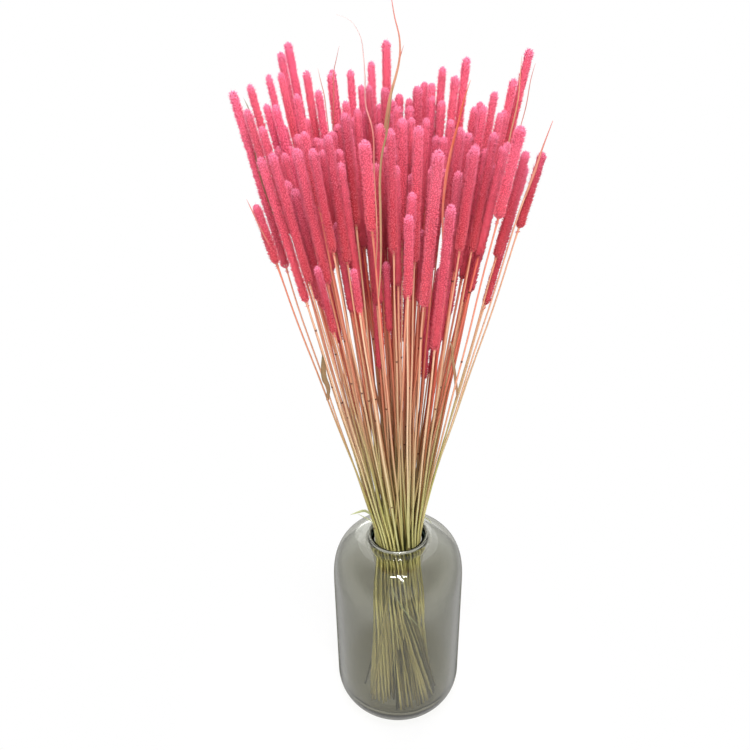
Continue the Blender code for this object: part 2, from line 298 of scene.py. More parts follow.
inner_radius = VASE_RADIUS - GLASS_THICKNESS
outside = np.concatenate([heel(FOOT_RADIUS, VASE_RADIUS, 0, HEEL_HEIGHT),
                          shoulder(VASE_RADIUS, NECK_RADIUS, WALL_TOP, SHOULDER_TOP)])
inside = np.concatenate([heel(FLOOR_RADIUS, inner_radius, FLOOR_THICKNESS, INNER_HEEL_HEIGHT),
                         shoulder(inner_radius, THROAT_RADIUS, WALL_TOP - GLASS_THICKNESS,
                                  THROAT_FOOT),
                         [[THROAT_RADIUS, THROAT_TOP]]])
lip_turns = np.linspace(LIP_STARTS_AT, math.pi, ROUND_STEPS)
lip = np.stack([NECK_BORE + LIP_BEAD + LIP_BEAD * np.cos(lip_turns),
                vase_top - LIP_BEAD + LIP_BEAD * np.sin(lip_turns)], axis=1)
profile = np.concatenate([[[FOOT_RADIUS / 2, 0]], outside, lip, inside[::-1],
                          [[FLOOR_RADIUS / 2, FLOOR_THICKNESS]]])
for _ in range(CORNER_CUTS):
    profile = cut_corners(profile)
around = np.linspace(0, 2 * math.pi, VASE_SIDES, endpoint=False)
turned = np.stack([profile[:, :1] * np.cos(around), profile[:, :1] * np.sin(around),
                   np.repeat(profile[:, 1:], VASE_SIDES, axis=1)], axis=2)

smoked_glass, flow = start_finish("smoked_glass")
spot = flow.node("ShaderNodeTexCoord", output="Object")
waves = flow.node("ShaderNodeTexNoise", sockets={"Vector": spot, "Scale": RIPPLE_SCALE,
                                                 "Detail": 2.0})
hand_blown = flow.node("ShaderNodeBump", sockets={
    "Strength": RIPPLE_STRENGTH, "Distance": RIPPLE_DEPTH, "Height": waves})
in_neck, height, on_lip = read_place(flow)
facing = flow.node("ShaderNodeLayerWeight", sockets={"Blend": 0.5}, output="Facing")
tint = flow.tinted((*GLASS_TINT, 1), 1.0)
# Painted shade: the glass darkens towards its foot, where the shadowed floor shows through the
# thick glass.
tint = tint.tinted((*BASE_PAINTED_SHADE, 1), height.ramp(*BASE_HEIGHTS))
# Painted sheen: the sides of the shoulder, half turned from the eye, are lighter, as if they
# mirrored light from above.
sheen = height.ramp(*SHOULDER_HEIGHTS)
for turns in SHOULDER_TURNS:
    sheen = sheen * facing.ramp(*turns)
tint = tint.tinted((*SHOULDER_PAINTED_SHEEN, 1), sheen)
# Painted shade: the glass darkens where it turns away from the eye.
tint = tint.tinted((*RIM_PAINTED_SHADE, 1), facing.ramp(*RIM_TURNS))
# Painted light: the lip is lighter, a pale line along the rim.
tint = tint.tinted((*LIP_PAINTED_LIGHT, 1), on_lip)
glass = flow.node("ShaderNodeBsdfPrincipled", sockets={
    "Base Color": tint, "Roughness": GLASS_ROUGHNESS, "IOR": GLASS_BEND,
    "Transmission Weight": 1.0, "Normal": hand_blown})
clear = flow.node("ShaderNodeBsdfTransparent", sockets={"Color": (*GLASS_SHADOW, 1)})
shadow_ray = flow.node("ShaderNodeLightPath", output="Is Shadow Ray")
# Painted shade: a grey see-through film where the glass is seen edge-on, outside the neck.
edge_shade_film = flow.node("ShaderNodeBsdfTransparent", sockets={"Color": (*EDGE_PAINTED_SHADE, 1)})
glass = flow.node("ShaderNodeMixShader", sockets={
    0: facing.ramp(*EDGE_TURNS) * (1 - in_neck), 1: glass, 2: edge_shade_film})
# Painted shade: the inside of the neck, seen through the mouth, is near black.
dark = flow.node("ShaderNodeBsdfTransparent", sockets={"Color": (*NECK_PAINTED_SHADE, 1)})
from_within = flow.node("ShaderNodeNewGeometry", output="Backfacing")
glass = flow.node("ShaderNodeMixShader", sockets={
    0: in_neck * facing.ramp(*NECK_TURNS) * (1 - from_within), 1: glass, 2: dark})
smoke = flow.node("ShaderNodeVolumeAbsorption", sockets={"Color": (*SMOKE, 1),
                                                         "Density": SMOKE_DENSITY})
flow.node("ShaderNodeOutputMaterial", sockets={
    "Surface": flow.node("ShaderNodeMixShader", sockets={0: shadow_ray, 1: glass, 2: clear}),
    "Volume": smoke})

# The inner face of the neck, where the glass is thick, is marked for its painted shade, and the
# lip for its painted light line.
inner_face = np.arange(len(profile)) > profile[:, 1].argmax()
lip_face = profile[:, 1] > LIP_FROM
neck_face = inner_face & ~lip_face & (profile[:, 1] > THROAT_FOOT)
growth = Growth()
growth.add(skin(turned, (0, 0, 0), (0, 0, FLOOR_THICKNESS)),
           places_on(VASE_SIDES, neck_face, profile[:, 1] / vase_top, lip_face),
           patch=WHOLE_SHEET)
vase = growth.piece("glass_vase", [smoked_glass])
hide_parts("vase")

# ---------------------------------------------------------------------------------------------
# The stalks of timothy grass: each grew as one straw stem with dark joints and one dense spike
# of tiny pointed spikelets. They were dried, their heads dipped in pink dye, and put in by hand.

RING_GAP = 0.3 * MM
STEM_STEP = 14 * MM
STEM_SIDES = 8
STEM_INTO_SPIKE = 3 * MM
STEM_SHARE = 0.84       # a stem's width, as a share of its solid's
STEM_WOBBLE = 0.25 * MM
STEM_WAVES = (55, 43)
STEM_PALE = 0.72
STEM_PALE_SPREAD = 0.19
KNOT_HEIGHTS = (0.19, 0.43)
KNOT_GAPS = (0.1, 0.2)
KNOT_LENGTH = 1.1 * MM
KNOT_SWELL = 0.25
KNOT_CHANCE = 0.4
KNOT_FAINT = 0.2
DYE_TOP = 0.7
SPIKE_FOOT = 3.5 * MM
SPIKE_HEAD = 4.6 * MM
CORE_RINGS = 26
CORE_ENDS = (0.02, 0.98)
CORE_SIDES = 10
CORE_INSET = 0.6 * MM
PODS_PER_AREA = 0.52 / MM ** 2
POD_LENGTH = 2.3 * MM
POD_WIDTH = 1.15 * MM
POD_LENGTHS = (0.82, 1.2)
POD_WIDTHS = (0.85, 1.15)
POD_BELT = {True: 0.42, False: 0.1}     # how far up a fine or a plain pod is widest
POD_PROUD = 0.45 * MM
POD_UNEVEN = 0.35
RISE_UNEVEN = 0.3 * MM
ANGLE_UNEVEN = 0.12
SPREAD_UNEVEN = 0.1
SWELL = 0.03
SWELL_LENGTHS = (3.1 * MM, 8 * MM)
SWELL_TURN = 9
LEAST_REACH = 0.1 * MM
GRAIN_UNEVEN = 0.07
POD_SPREAD = math.radians(50)
TIP_SPREAD = math.radians(14)
FOOT_SPREAD = math.radians(24)
LOOSE_PODS = 9
LOOSE_LENGTH = 0.75
LOOSE_BELOW = 5 * MM
LOOSE_OUT = (0.9, 1.9)
AWNS_PER_POD = 0.45
AWN_LENGTH = 1.9 * MM
AWN_LENGTHS = (0.6, 1.2)
AWN_WIDTH = 0.24 * MM
AWN_START = 0.7
AWN_LEANS = (0.0, 0.8)
# How far out each corner of a pod or an awn lies, from 0 (deep) to 1 (at its point). The spike's
# finish paints crimson shade where this is low; plain pods start lower than fine ones, so they
# take more.
FINE_OUTWARD = (0.5, 0.5, 0.5, 1, 0)
PLAIN_OUTWARD = (0.2, 0.2, 0.2, 1)
AWN_OUTWARD = (1, 1, 1, 1)
PODS_PATCH = (0.01, 0.01, 0.64, 0.99)
AWNS_PATCH = (0.65, 0.01, 0.77, 0.99)
CORE_PATCH = (0.78, 0.01, 0.88, 0.99)
STEM_PATCH = (0.89, 0.01, 0.99, 0.99)
GOLDEN_ANGLE = math.pi * (3 - math.sqrt(5))
UPRIGHT = np.array((0.0, 1.0, 0.0))


def rings_of(name):
    """The level rings of a solid stalk: the middle of each (x, y, z) and its half width."""
    points = np.array([corner.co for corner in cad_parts[name].data.vertices])
    points = points[np.argsort(points[:, 2])]
    breaks = np.flatnonzero(np.diff(points[:, 2]) > RING_GAP) + 1
    rings = []
    for ring in np.split(points, breaks):
        low, high = ring.min(axis=0), ring.max(axis=0)
        rings.append((*(low + high) / 2, (high[0] - low[0]) / 2))
    return np.array(rings)


def spike_of(rings):
    """The height where a solid stalk's spike starts, its tip's height and its full radius."""
    neck = rings[:-1, 3].argmin()
    return rings[neck + 1, 2], rings[-1, 2], rings[neck + 1:, 3].max()


def through(keys, values, wanted):
    """The smooth curve through values at rising keys, read at the wanted keys. It runs straight
    on past the last one."""
    slopes = np.gradient(values, keys, axis=0)
    span = np.clip(np.searchsorted(keys, wanted, side="right") - 1, 0, len(keys) - 2)
    step = (keys[span + 1] - keys[span])[:, None]
    part = (wanted - keys[span])[:, None] / step
    past = (part - 1).clip(0) * step
    part = part.clip(0, 1)
    rise, fall = part * part * (3 - 2 * part), part * (1 - part)
    return (values[span] * (1 - rise) + values[span + 1] * rise + slopes[span + 1] * past
            + slopes[span] * step * fall * (1 - part) - slopes[span + 1] * step * fall * part)


def line_at(rings, heights):
    """Points on the smooth line through the middles of the rings, at these heights."""
    return np.column_stack([through(rings[:, 2], rings[:, :2], heights), heights])


def directions(ahead):
    """From steps along a line: the way along it at each, and two ways square to that."""
    along = ahead / np.linalg.norm(ahead, axis=1, keepdims=True)
    side = np.cross(UPRIGHT, along)
    side /= np.linalg.norm(side, axis=1, keepdims=True)
    return along, side, np.cross(along, side)


def tube(line, radii, sides):
    """A closed tube round a line."""
    _, side, other = directions(np.gradient(line, axis=0))
    around = np.linspace(0, 2 * math.pi, sides, endpoint=False)[None, :, None]
    rings = line[:, None] + np.reshape(radii, (-1, 1, 1)) * (
        side[:, None] * np.cos(around) + other[:, None] * np.sin(around))
    return skin(rings, None, None)


def grow_stem(growth, rings, top, tone, chance, sides=STEM_SIDES, pale=STEM_PALE):
    """A straw stem from its cut foot up into the spike, with two dark swollen joints."""
    heights = np.append(np.arange(rings[0, 2], top - STEM_STEP / 2, STEM_STEP), top)
    knots = chance.uniform(*KNOT_HEIGHTS) + np.array((0, chance.uniform(*KNOT_GAPS)))
    shown = (chance.uniform(0, 1, 2) < KNOT_CHANCE) * (1 - KNOT_FAINT) + KNOT_FAINT
    near = (knots[:, None] + np.array((-2, -1, 0, 1, 2)) * KNOT_LENGTH).ravel()
    heights = np.sort(np.concatenate([heights, near[near < top]]))
    dark = (np.exp(-((heights[:, None] - knots) / KNOT_LENGTH) ** 2) * shown).sum(axis=1)
    line = line_at(rings, heights)
    phase = chance.uniform(0, 2 * math.pi, 2)
    line[:, :2] += STEM_WOBBLE * np.sin(heights[:, None] * STEM_WAVES + phase)
    radii = np.interp(heights, rings[:, 2], rings[:, 3])
    radii = np.minimum(radii, rings[0, 3]) * STEM_SHARE * (1 + KNOT_SWELL * dark)
    place = places_on(sides, np.full(len(heights), tone), heights / DYE_TOP, dark)
    growth.add(tube(line, radii, sides), place, chance.normal(pale, STEM_PALE_SPREAD), finish=0,
               patch=STEM_PATCH)


def outline(rise, length):
    """A spike's radius as a share of its full radius, at heights above its base."""
    foot = np.clip(rise / SPIKE_FOOT, 0, 1)
    head = np.clip((length - rise) / SPIKE_HEAD, 0, 1)
    return (0.5 + 0.5 * foot * (2 - foot)) * np.sqrt(head * (2 - head))


def pods(base, along, out, spread, length, width, sheet_side, fine):
    """Pointed spikelets, each leaning out from the stem by its spread. The fine ones are pointed
    at both ends. All sides of one spikelet share a square of the bake sheet."""
    count = len(base)
    pointing = along * np.cos(spread)[:, None] + out * np.sin(spread)[:, None]
    across = np.cross(along, out)
    up = np.cross(pointing, across)
    around = np.array((0, 2, 4))[None, :, None] * math.pi / 3
    middle = base + pointing * (length * POD_BELT[fine])[:, None]
    belt = middle[:, None] + (width / 2)[:, None, None] * (
        across[:, None] * np.cos(around) + up[:, None] * np.sin(around))
    tip = base + pointing * length[:, None]
    cell = np.stack([np.arange(count) % sheet_side, np.arange(count) // sheet_side], axis=1)
    upper = [(0, 1, 3), (1, 2, 3), (2, 0, 3)]
    upper_spots = [((.1, .45), (.9, .45), (.5, .95))] * 3
    if fine:
        points = np.concatenate([belt, tip[:, None], base[:, None]], axis=1)
        shape = upper + [(4, 1, 0), (4, 2, 1), (4, 0, 2)]
        spots = upper_spots + [((.5, .05), (.9, .45), (.1, .45))] * 3
    else:
        points = np.concatenate([belt, tip[:, None]], axis=1)
        shape = upper + [(2, 1, 0)]
        spots = upper_spots + [((.5, .05), (.9, .4), (.1, .4))]
    each = points.shape[1]
    faces = (np.array(shape)[None] + np.arange(count)[:, None, None] * each).reshape(-1, 3)
    corners = (np.array(spots)[None] + cell[:, None, None]) / sheet_side
    return points.reshape(-1, 3), faces, corners.reshape(-1, 3, 2)


def grow_spike(growth, rings, base, tip, radius, tone, pale, chance, share=1.0, sheet=None):
    """A dense spike: a core, close-set spikelets in a spiral, and a few loose ones below it. With
    less than the full share of spikelets, they are plainer and a little wider."""
    length = tip - base
    fine = share == 1
    rise = np.linspace(*CORE_ENDS, CORE_RINGS) * length
    core = radius * outline(rise, length)
    core = np.maximum(core - CORE_INSET, core * 0.5)
    place = places_on(CORE_SIDES, np.full(len(rise), tone), rise / length, rise * 0)
    growth.add(tube(line_at(rings, base + rise), core, CORE_SIDES), place, pale, finish=1,
               patch=CORE_PATCH)

    count = int(PODS_PER_AREA * 2 * math.pi * radius * length * share)
    number = np.arange(count + LOOSE_PODS)
    loose = number >= count
    rise = length * (number + 0.5) / count + chance.normal(0, RISE_UNEVEN, len(number))
    rise = np.where(loose, -chance.uniform(0, LOOSE_BELOW, len(number)), rise.clip(0, length))
    angle = number * GOLDEN_ANGLE + chance.normal(0, ANGLE_UNEVEN, len(number))
    size = chance.uniform(*POD_LENGTHS, len(number)) * np.where(loose, LOOSE_LENGTH, 1)
    pod_length, width = POD_LENGTH * size, POD_WIDTH * chance.uniform(*POD_WIDTHS, len(number))
    width /= math.sqrt(share)
    head = np.clip((length - rise) / SPIKE_HEAD, 0, 1)
    foot = np.clip(1 - rise / SPIKE_FOOT, 0, 1)
    spread = TIP_SPREAD + (POD_SPREAD - TIP_SPREAD) * np.sqrt(head) + FOOT_SPREAD * foot
    spread += chance.normal(0, SPREAD_UNEVEN, len(number))
    near, far = SWELL_LENGTHS
    swell = 1 + SWELL * np.sin(rise / near + tone * SWELL_TURN) + SWELL * np.sin(rise / far)
    reach = (radius + POD_PROUD) * outline(rise.clip(0), length) * swell
    reach += chance.uniform(-POD_UNEVEN, POD_UNEVEN, len(number)) * MM
    reach = np.where(loose, chance.uniform(*LOOSE_OUT, len(number)) * MM, reach)
    heights = base + rise - pod_length * np.cos(spread)
    line = line_at(rings, heights)
    along, side, other = directions(line_at(rings, heights + MM) - line)
    out = side * np.cos(angle)[:, None] + other * np.sin(angle)[:, None]
    inner = np.maximum(reach - pod_length * np.sin(spread), LEAST_REACH)
    sheet_side = math.ceil(math.sqrt(len(number)))
    start = line + out * inner[:, None]
    grain = pale + chance.normal(0, GRAIN_UNEVEN, len(number))

    def lay(made, which, outward, patch):
        high = rise[which] / length
        # Painted shade: on the plain spikes of the inner stalks, the crimson shade grows towards
        # the spike's foot.
        lit = np.ones(len(which)) if fine else high.clip(0.1, 1)
        place = np.column_stack([np.full(len(which) * len(outward), tone),
                                 np.repeat(high, len(outward)), np.outer(lit, outward).ravel()])
        growth.add(made, place, np.repeat(grain[which], len(outward)), finish=1, patch=patch)

    lay(pods(start, along, out, spread, pod_length, width, sheet_side, fine), number,
        FINE_OUTWARD if fine else PLAIN_OUTWARD, sheet or PODS_PATCH)
    if fine:
        awned = number[chance.uniform(0, 1, len(number)) < AWNS_PER_POD]
        lean = spread[awned] + chance.uniform(*AWN_LEANS, len(awned))
        pointing = (along * np.cos(spread)[:, None] + out * np.sin(spread)[:, None])[awned]
        start = start[awned] + pointing * (pod_length[awned] * AWN_START)[:, None]
        long = AWN_LENGTH * chance.uniform(*AWN_LENGTHS, len(awned))
        lay(pods(start, along[awned], out[awned], lean, long, np.full(len(awned), AWN_WIDTH),
                 math.ceil(math.sqrt(len(awned))), False), awned, AWN_OUTWARD, AWNS_PATCH)


# The straw's colours up the stem, at shares of the height that the dye reached, and the colours
# of a bleached stem and of a deep one, each at its foot and at its top. The deep colours, and the
# olive below them, are also painted shade on the inner stems.
STRAW_COLOURS = ((0.02, (238, 224, 158)), (0.20, (226, 214, 142)), (0.30, (164, 160, 88)),
                 (0.40, (178, 158, 108)), (0.48, (188, 145, 107)), (0.58, (212, 145, 114)),
                 (0.72, (226, 128, 106)))
BLEACHED_COLOURS, BLEACHED_HEIGHTS = ((206, 202, 144), (236, 204, 168)), (0.34, 0.5)
DEEP_AND_SHADED_COLOURS, DEEP_HEIGHTS = ((150, 92, 52), (200, 52, 44)), (0.4, 0.58)
OLIVE_AND_SHADED_COLOUR, OLIVE_HEIGHTS = (78, 78, 40), (0.36, 0.28)
KNOT_COLOUR, KNOT_FROM = (92, 46, 30), (0.35, 0.8)
STREAKS = (900.0, 900.0, 22.0)
straw, flow = start_finish("dry_straw")
tone, height, knot = read_place(flow)
grain = read_grain(flow)
streak = streaked(flow, STREAKS, 2.0)
dyed = flow.node("ShaderNodeValToRGB", {"stops": [
    (at, shade(*colour)[:3]) for at, colour in STRAW_COLOURS]},
    {"Fac": height + (tone - 0.5) * 0.2 + (streak - 0.5) * 0.1})
bleached, deep = [
    flow.tinted(shade(*foot), 1.0).tinted(shade(*top), height.ramp(*heights))
    for (foot, top), heights in ((BLEACHED_COLOURS, BLEACHED_HEIGHTS),
                                 (DEEP_AND_SHADED_COLOURS, DEEP_HEIGHTS))]
aged = dyed.tinted(bleached, (grain - 0.5) * 1.5 + (streak - 0.5) * 0.4)
# Painted shade: stems of low paleness, as the inner ones are, turn deep red-brown higher up and
# dark olive lower down.
aged = aged.tinted(deep, (0.5 - grain) * 1.5 + (0.45 - streak) * 0.5)
aged = aged.tinted(shade(*OLIVE_AND_SHADED_COLOUR), height.ramp(*OLIVE_HEIGHTS) * (0.62 - grain) * 2.2)
aged = aged.tinted(shade(*KNOT_COLOUR), knot.ramp(*KNOT_FROM))
fibres = flow.node("ShaderNodeBump", sockets={"Strength": 0.25, "Distance": 0.0003,
                                              "Height": streak})
shader = flow.node("ShaderNodeBsdfPrincipled", sockets={
    "Base Color": aged, "Roughness": 0.5, "Specular IOR Level": 0.35, "Normal": fibres})
flow.node("ShaderNodeOutputMaterial", sockets={"Surface": shader})

PINK = (250, 116, 136)
HOT_PINK = (255, 116, 150)
DUSTY_AND_SHADED_ROSE = (202, 84, 98)
UPPER_PINK = (255, 140, 176)
LOWER_CORAL = (240, 112, 112)
BROWNED = (186, 96, 94)
FADED_AND_LIGHTENED_PINK = (255, 170, 192)
TIP_PINK = (255, 160, 200)
CRIMSON_PAINTED_SHADE = (156, 6, 32)
FUZZ_PINK = (255, 150, 180)
PATCH_SCALE = 160.0
dyed_spike, flow = start_finish("dyed_spike")
tone, height, outward = read_place(flow)
grain = read_grain(flow)
spot = flow.node("ShaderNodeTexCoord", output="Object")
patchy = flow.node("ShaderNodeTexNoise", sockets={"Vector": spot, "Scale": PATCH_SCALE,
                                                  "Detail": 2.0})
uneven = (patchy - 0.5) * 0.4
colour = flow.tinted(shade(*PINK), 1.0)
for tinge, amount in ((HOT_PINK, tone.ramp(0.5, 1.0)),
                      # Dusty rose, which on some stalks is painted shade.
                      (DUSTY_AND_SHADED_ROSE, tone.ramp(0.45, 0.0)),
                      (UPPER_PINK, height.ramp(0.4, 1.0) * 0.4),
                      (LOWER_CORAL, height.ramp(0.5, 0.0) * 0.4),
                      (BROWNED, (0.42 - grain + uneven) * 1.5),
                      # Faded pink, which on some stalks is painted light.
                      (FADED_AND_LIGHTENED_PINK, (grain - 0.55 + uneven) * 1.2),
                      (TIP_PINK, height.ramp(0.9, 1.0) * 0.5),
                      # Painted shade: crimson deep between the spikelets, where little light
                      # reaches.
                      (CRIMSON_PAINTED_SHADE, outward.ramp(0.7, 0.0) * 0.52)):
    colour = colour.tinted(shade(*tinge), amount)
shader = flow.node("ShaderNodeBsdfPrincipled", sockets={
    "Base Color": colour, "Roughness": 0.85, "Specular IOR Level": 0.1, "Sheen Weight": 0.12,
    "Sheen Roughness": 0.5, "Sheen Tint": shade(*FUZZ_PINK)})
flow.node("ShaderNodeOutputMaterial", sockets={"Surface": shader})

# How the dye took: a tone from 0 (dusty) to 1 (hot pink), and how pale. Some stalks differ: the
# dusty and pale lists hold stalks of those colours, and also some darkened as painted shade and
# some lightened as painted light.
TONES = (0.3, 0.7)
PALENESS = (0.5, 0.07)      # its mean and its spread
DUSTIER_AND_SHADED = 0.45
BRIGHTER = 0.3
PALER_AND_LIGHTENED = 0.08
DUSTY_AND_SHADED_STALKS = (4, 10, 20, 23, 24, 36, 37, 38, 39, 41, 42, 43, 44, 46, 50, 51, 52, 56)
BRIGHT_STALKS = (1, 5, 6, 9, 11, 12, 13, 14, 16, 18, 21, 25, 26, 35)
PALE_AND_LIGHTENED_STALKS = (1, 5, 8, 12, 18, 21, 25, 35, 40, 45, 49, 54)
stalk_rings = {}
for name in sorted(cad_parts):
    if not name.startswith("stalk_"):
        continue
    number = int(name.split("_")[1])
    chance = np.random.default_rng(number)
    tone, pale = chance.uniform(*TONES), chance.normal(*PALENESS)
    tone += BRIGHTER * (number in BRIGHT_STALKS) - DUSTIER_AND_SHADED * (number in DUSTY_AND_SHADED_STALKS)
    pale += PALER_AND_LIGHTENED * (number in PALE_AND_LIGHTENED_STALKS)
    rings = stalk_rings[name] = rings_of(name)
    base, tip, radius = spike_of(rings)
    growth = Growth()
    grow_stem(growth, rings, base + STEM_INTO_SPIKE, tone, chance)
    grow_spike(growth, rings, base, tip, radius, tone, pale, chance)
    stalk = growth.piece(f"timothy_{number:02d}", [straw, dyed_spike])
    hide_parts(name)

# ---------------------------------------------------------------------------------------------
# The leaves: two shoots end in a long folded blade instead of a spike, and thin dry blades still
# hang on some stalks. Each grew from its stem, folded along its rib, and curled as it dried.

BLADE_STEP = 3 * MM
BLADE_LEAST_STEPS = 10
BLADE_FOLD = math.radians(32)
BLADE_THICKNESS = 0.22 * MM
BLADE_OUTLINE = ((0, 0.35, 0.8, 1), (0.5, 1, 0.55, 0.06))
BLADE_PATCH = (0.01, 0.01, 0.87, 0.99)
SHOOT_TONE = 0.6
SHOOT_SEED = 200
LEAF_GRAIN = 0.5
SHOOT_BLADES_FROM = {"leafy_shoot_tall": 555 * MM, "leafy_shoot_right": 534 * MM}
SHOOT_LOOKS = {"leafy_shoot_tall": ((0.16, 0.62), 0.4), "leafy_shoot_right": ((0.45, 0.6), 0.5)}

# The stalk that a leaf grows on, its height there in cm, the greatest width in mm, the tone at its
# foot and tip (0 pale green, 0.2 olive, 0.4 tan, 0.6 rose, 0.8 pale pink, 1 orange), how far it is
# turned edge-on at both ends in degrees, and the points that it passes (across, deep, high, cm).
LEAVES = [
    ("stalk_45", 51.0, 1.2, (0.36, 0.8), (20, 75),
     [(-1.43, -7.6, 53.5), (-1.47, -7.6, 55.6), (-1.57, -7.4, 57.9), (-1.76, -7, 61.1),
      (-2.01, -6.8, 61.8), (-2.1, -6.4, 63.8), (-2.19, -6, 65), (-2.33, -5.8, 65.9),
      (-2.51, -5.8, 66.3), (-2.98, -5.8, 66.9), (-3.8, -5.8, 67.2)]),
    ("stalk_45", 48.5, 2.0, (0.4, 0.2), (10, 40),
     [(-1.2, -7.6, 51.9), (-1.18, -7.8, 55.6), (-1.2, -7.6, 57.6), (-1.03, -7.4, 59.3),
      (-0.74, -7, 60.4), (-0.52, -6.5, 61.8), (-0.32, -6, 63.2)]),
    ("stalk_17", 51.4, 1.0, (0.45, 0.6), (30, 30),
     [(-5.27, 6, 58.4), (-5.1, 6, 61.2), (-5.04, 6, 62.7), (-4.82, 6, 63.5), (-4.54, 6, 64.5)]),
    ("stalk_16", 52.0, 0.9, (0.45, 0.55), (30, 30),
     [(-5.6, 4.2, 60), (-5.71, 4.1, 61.3), (-5.9, 4, 62.2), (-6.06, 4, 63.1)]),
    ("stalk_34", 52.2, 1.5, (0.35, 0.45), (20, 20),
     [(8.88, 5.4, 56.8), (9, 5.4, 57.7), (9.52, 5.6, 61.1), (9.55, 5.8, 62.4), (9.61, 6, 63.8)]),
    ("stalk_34", 52.6, 1.0, (0.55, 0.6), (20, 40),
     [(10.44, 7.2, 60), (10.63, 6.8, 62.3), (10.81, 6.6, 63.2)]),
    ("stalk_50", 49.5, 3.0, (0.95, 1.0), (20, 50),
     [(3.21, -4, 55.3), (3.34, -4.2, 57.1), (3.66, -4.2, 59), (4.02, -4.2, 60.5),
      (4.44, -4, 62.2), (4.8, -3.8, 63.2)]),
    ("stalk_04", 49.0, 1.4, (0.5, 0.6), (0, 30),
     [(-9.46, -3, 51.2), (-10.05, -3.2, 52.7), (-10.73, -3.2, 54.5), (-10.96, -3.2, 55.1)]),
    ("stalk_36", 36.7, 3.2, (0.31, 0.26), (25, 0),
     [(5.09, -0.8, 37.6), (4.94, -1, 38.5), (4.79, -1.2, 39.7), (4.59, -1.4, 41.1),
      (4.44, -1.2, 42.3), (4.31, -1, 42.7)]),
    ("stalk_04", 37.6, 5.6, (0.26, 0.2), (20, 0),
     [(-5.9, -2.5, 39.3), (-6.07, -2.6, 39.8), (-6.15, -2.6, 41.1), (-6.13, -2.5, 41.5),
      (-6.17, -2.4, 41.7), (-6.1, -2.4, 42.2)]),
    ("stalk_04", 24.6, 3.4, (0.05, 0.0), (0, 40),
     [(-3.23, -2, 25.6), (-3.74, -2.4, 25.7), (-4.42, -2.8, 25.7)]),
    ("stalk_04", 23.6, 1.5, (0.0, 0.0), (0, 0),
     [(-3.14, -2, 24.8), (-3.74, -2.4, 25.5)]),
    ("stalk_36", 23.4, 1.6, (0.0, 0.0), (0, 20),
     [(2.9, -0.5, 23.3), (3.24, -0.8, 23)]),
    ("stalk_54", 9.3, 1.6, (0.0, 0.0), (20, 40),
     [(1.52, -2.6, 12.1), (0.06, -3.4, 15.6), (-0.49, -3.4, 17.1), (-0.84, -3.2, 18.6)]),
    ("stalk_03", 26.4, 3.4, (0.28, 0.22), (10, 30),
     [(-3.12, -1.6, 28.3), (-3.3, -1.8, 29.5)]),
    ("stalk_14", 53.0, 1.0, (0.45, 0.45), (30, 30),
     [(-8.12, 6.6, 59.5), (-8.41, 6.6, 60.6), (-8.77, 6.6, 61.9)]),
    ("stalk_03", 49.0, 1.2, (0.25, 0.2), (20, 20),
     [(-10.5, -0.4, 57), (-10.8, -0.3, 61), (-11.05, -0.3, 61.6)]),
    ("leafy_shoot_tall", 63.6, 1.0, (0.5, 0.7), (30, 30),
     [(0.22, 2.4, 64.3), (0.44, 2.4, 64.9)]),
]


def grow_blade(growth, points, widths, turns, tones, grain, finish):
    """A leaf blade through points, folded along its rib, with a width and a turn at each point:
    no turn shows its flat side to the front and a quarter turn its edge."""
    far = np.append(0, np.cumsum(np.linalg.norm(np.diff(points, axis=0), axis=1)))
    steps = np.linspace(0, far[-1], max(BLADE_LEAST_STEPS, int(far[-1] / BLADE_STEP)))
    line = through(far, points, steps)
    along, side, other = directions(np.gradient(line, axis=0))
    turn = np.radians(np.interp(steps, far, turns))[:, None]
    across = side * np.cos(turn) + other * np.sin(turn)
    up = np.cross(across, along)
    wing = np.interp(steps, far, widths)[:, None] / 2
    reach, lift = across * wing * math.cos(BLADE_FOLD), up * wing * math.sin(BLADE_FOLD)
    skin_up = up * BLADE_THICKNESS / 2
    section = np.stack([line + reach + lift - skin_up, line + reach + lift + skin_up,
                        line + skin_up, line - reach + lift + skin_up,
                        line - reach + lift - skin_up, line - skin_up], axis=1)
    place = places_on(section.shape[1], np.interp(steps, far[[0, -1]], tones), steps / far[-1],
                      steps * 0)
    growth.add(skin(section, None, None), place, grain, finish, BLADE_PATCH)


LEAF_COLOURS = ((0.0, (184, 190, 142)), (0.18, (122, 106, 72)), (0.4, (206, 152, 120)),
                (0.6, (208, 122, 116)), (0.8, (234, 208, 206)), (1.0, (226, 108, 76)))
LEAF_BROWN = (110, 76, 50)
VEINS = (1200.0, 1200.0, 90.0)
dried_leaf, flow = start_finish("dried_leaf")
tone = read_place(flow)[0]
grain = read_grain(flow)
veins = streaked(flow, VEINS, 3.0)
blade = flow.node("ShaderNodeValToRGB", {"stops": [
    (at, shade(*colour)[:3]) for at, colour in LEAF_COLOURS]},
    {"Fac": tone + (veins - 0.5) * 0.12})
blade = blade.tinted(shade(*LEAF_BROWN), (0.5 - grain + (0.45 - veins) * 0.8) * 0.8)
shader = flow.node("ShaderNodeBsdfPrincipled", sockets={
    "Base Color": blade, "Roughness": 0.65, "Specular IOR Level": 0.25})
flow.node("ShaderNodeOutputMaterial", sockets={"Surface": shader})

for number, (name, blade_from) in enumerate(SHOOT_BLADES_FROM.items(), start=1):
    chance = np.random.default_rng(SHOOT_SEED + number)
    rings = stalk_rings[name] = rings_of(name)
    blade_rings = rings[rings[:, 2] > blade_from - RING_GAP]
    growth = Growth()
    grow_stem(growth, rings, blade_from + STEM_INTO_SPIKE, SHOOT_TONE, chance)
    widths = 2 * blade_rings[:, 3]
    grow_blade(growth, blade_rings[:, :3], widths, widths * 0, *SHOOT_LOOKS[name], finish=1)
    shoot = growth.piece(f"leafy_stem_{number}", [straw, dried_leaf])
    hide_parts(name)

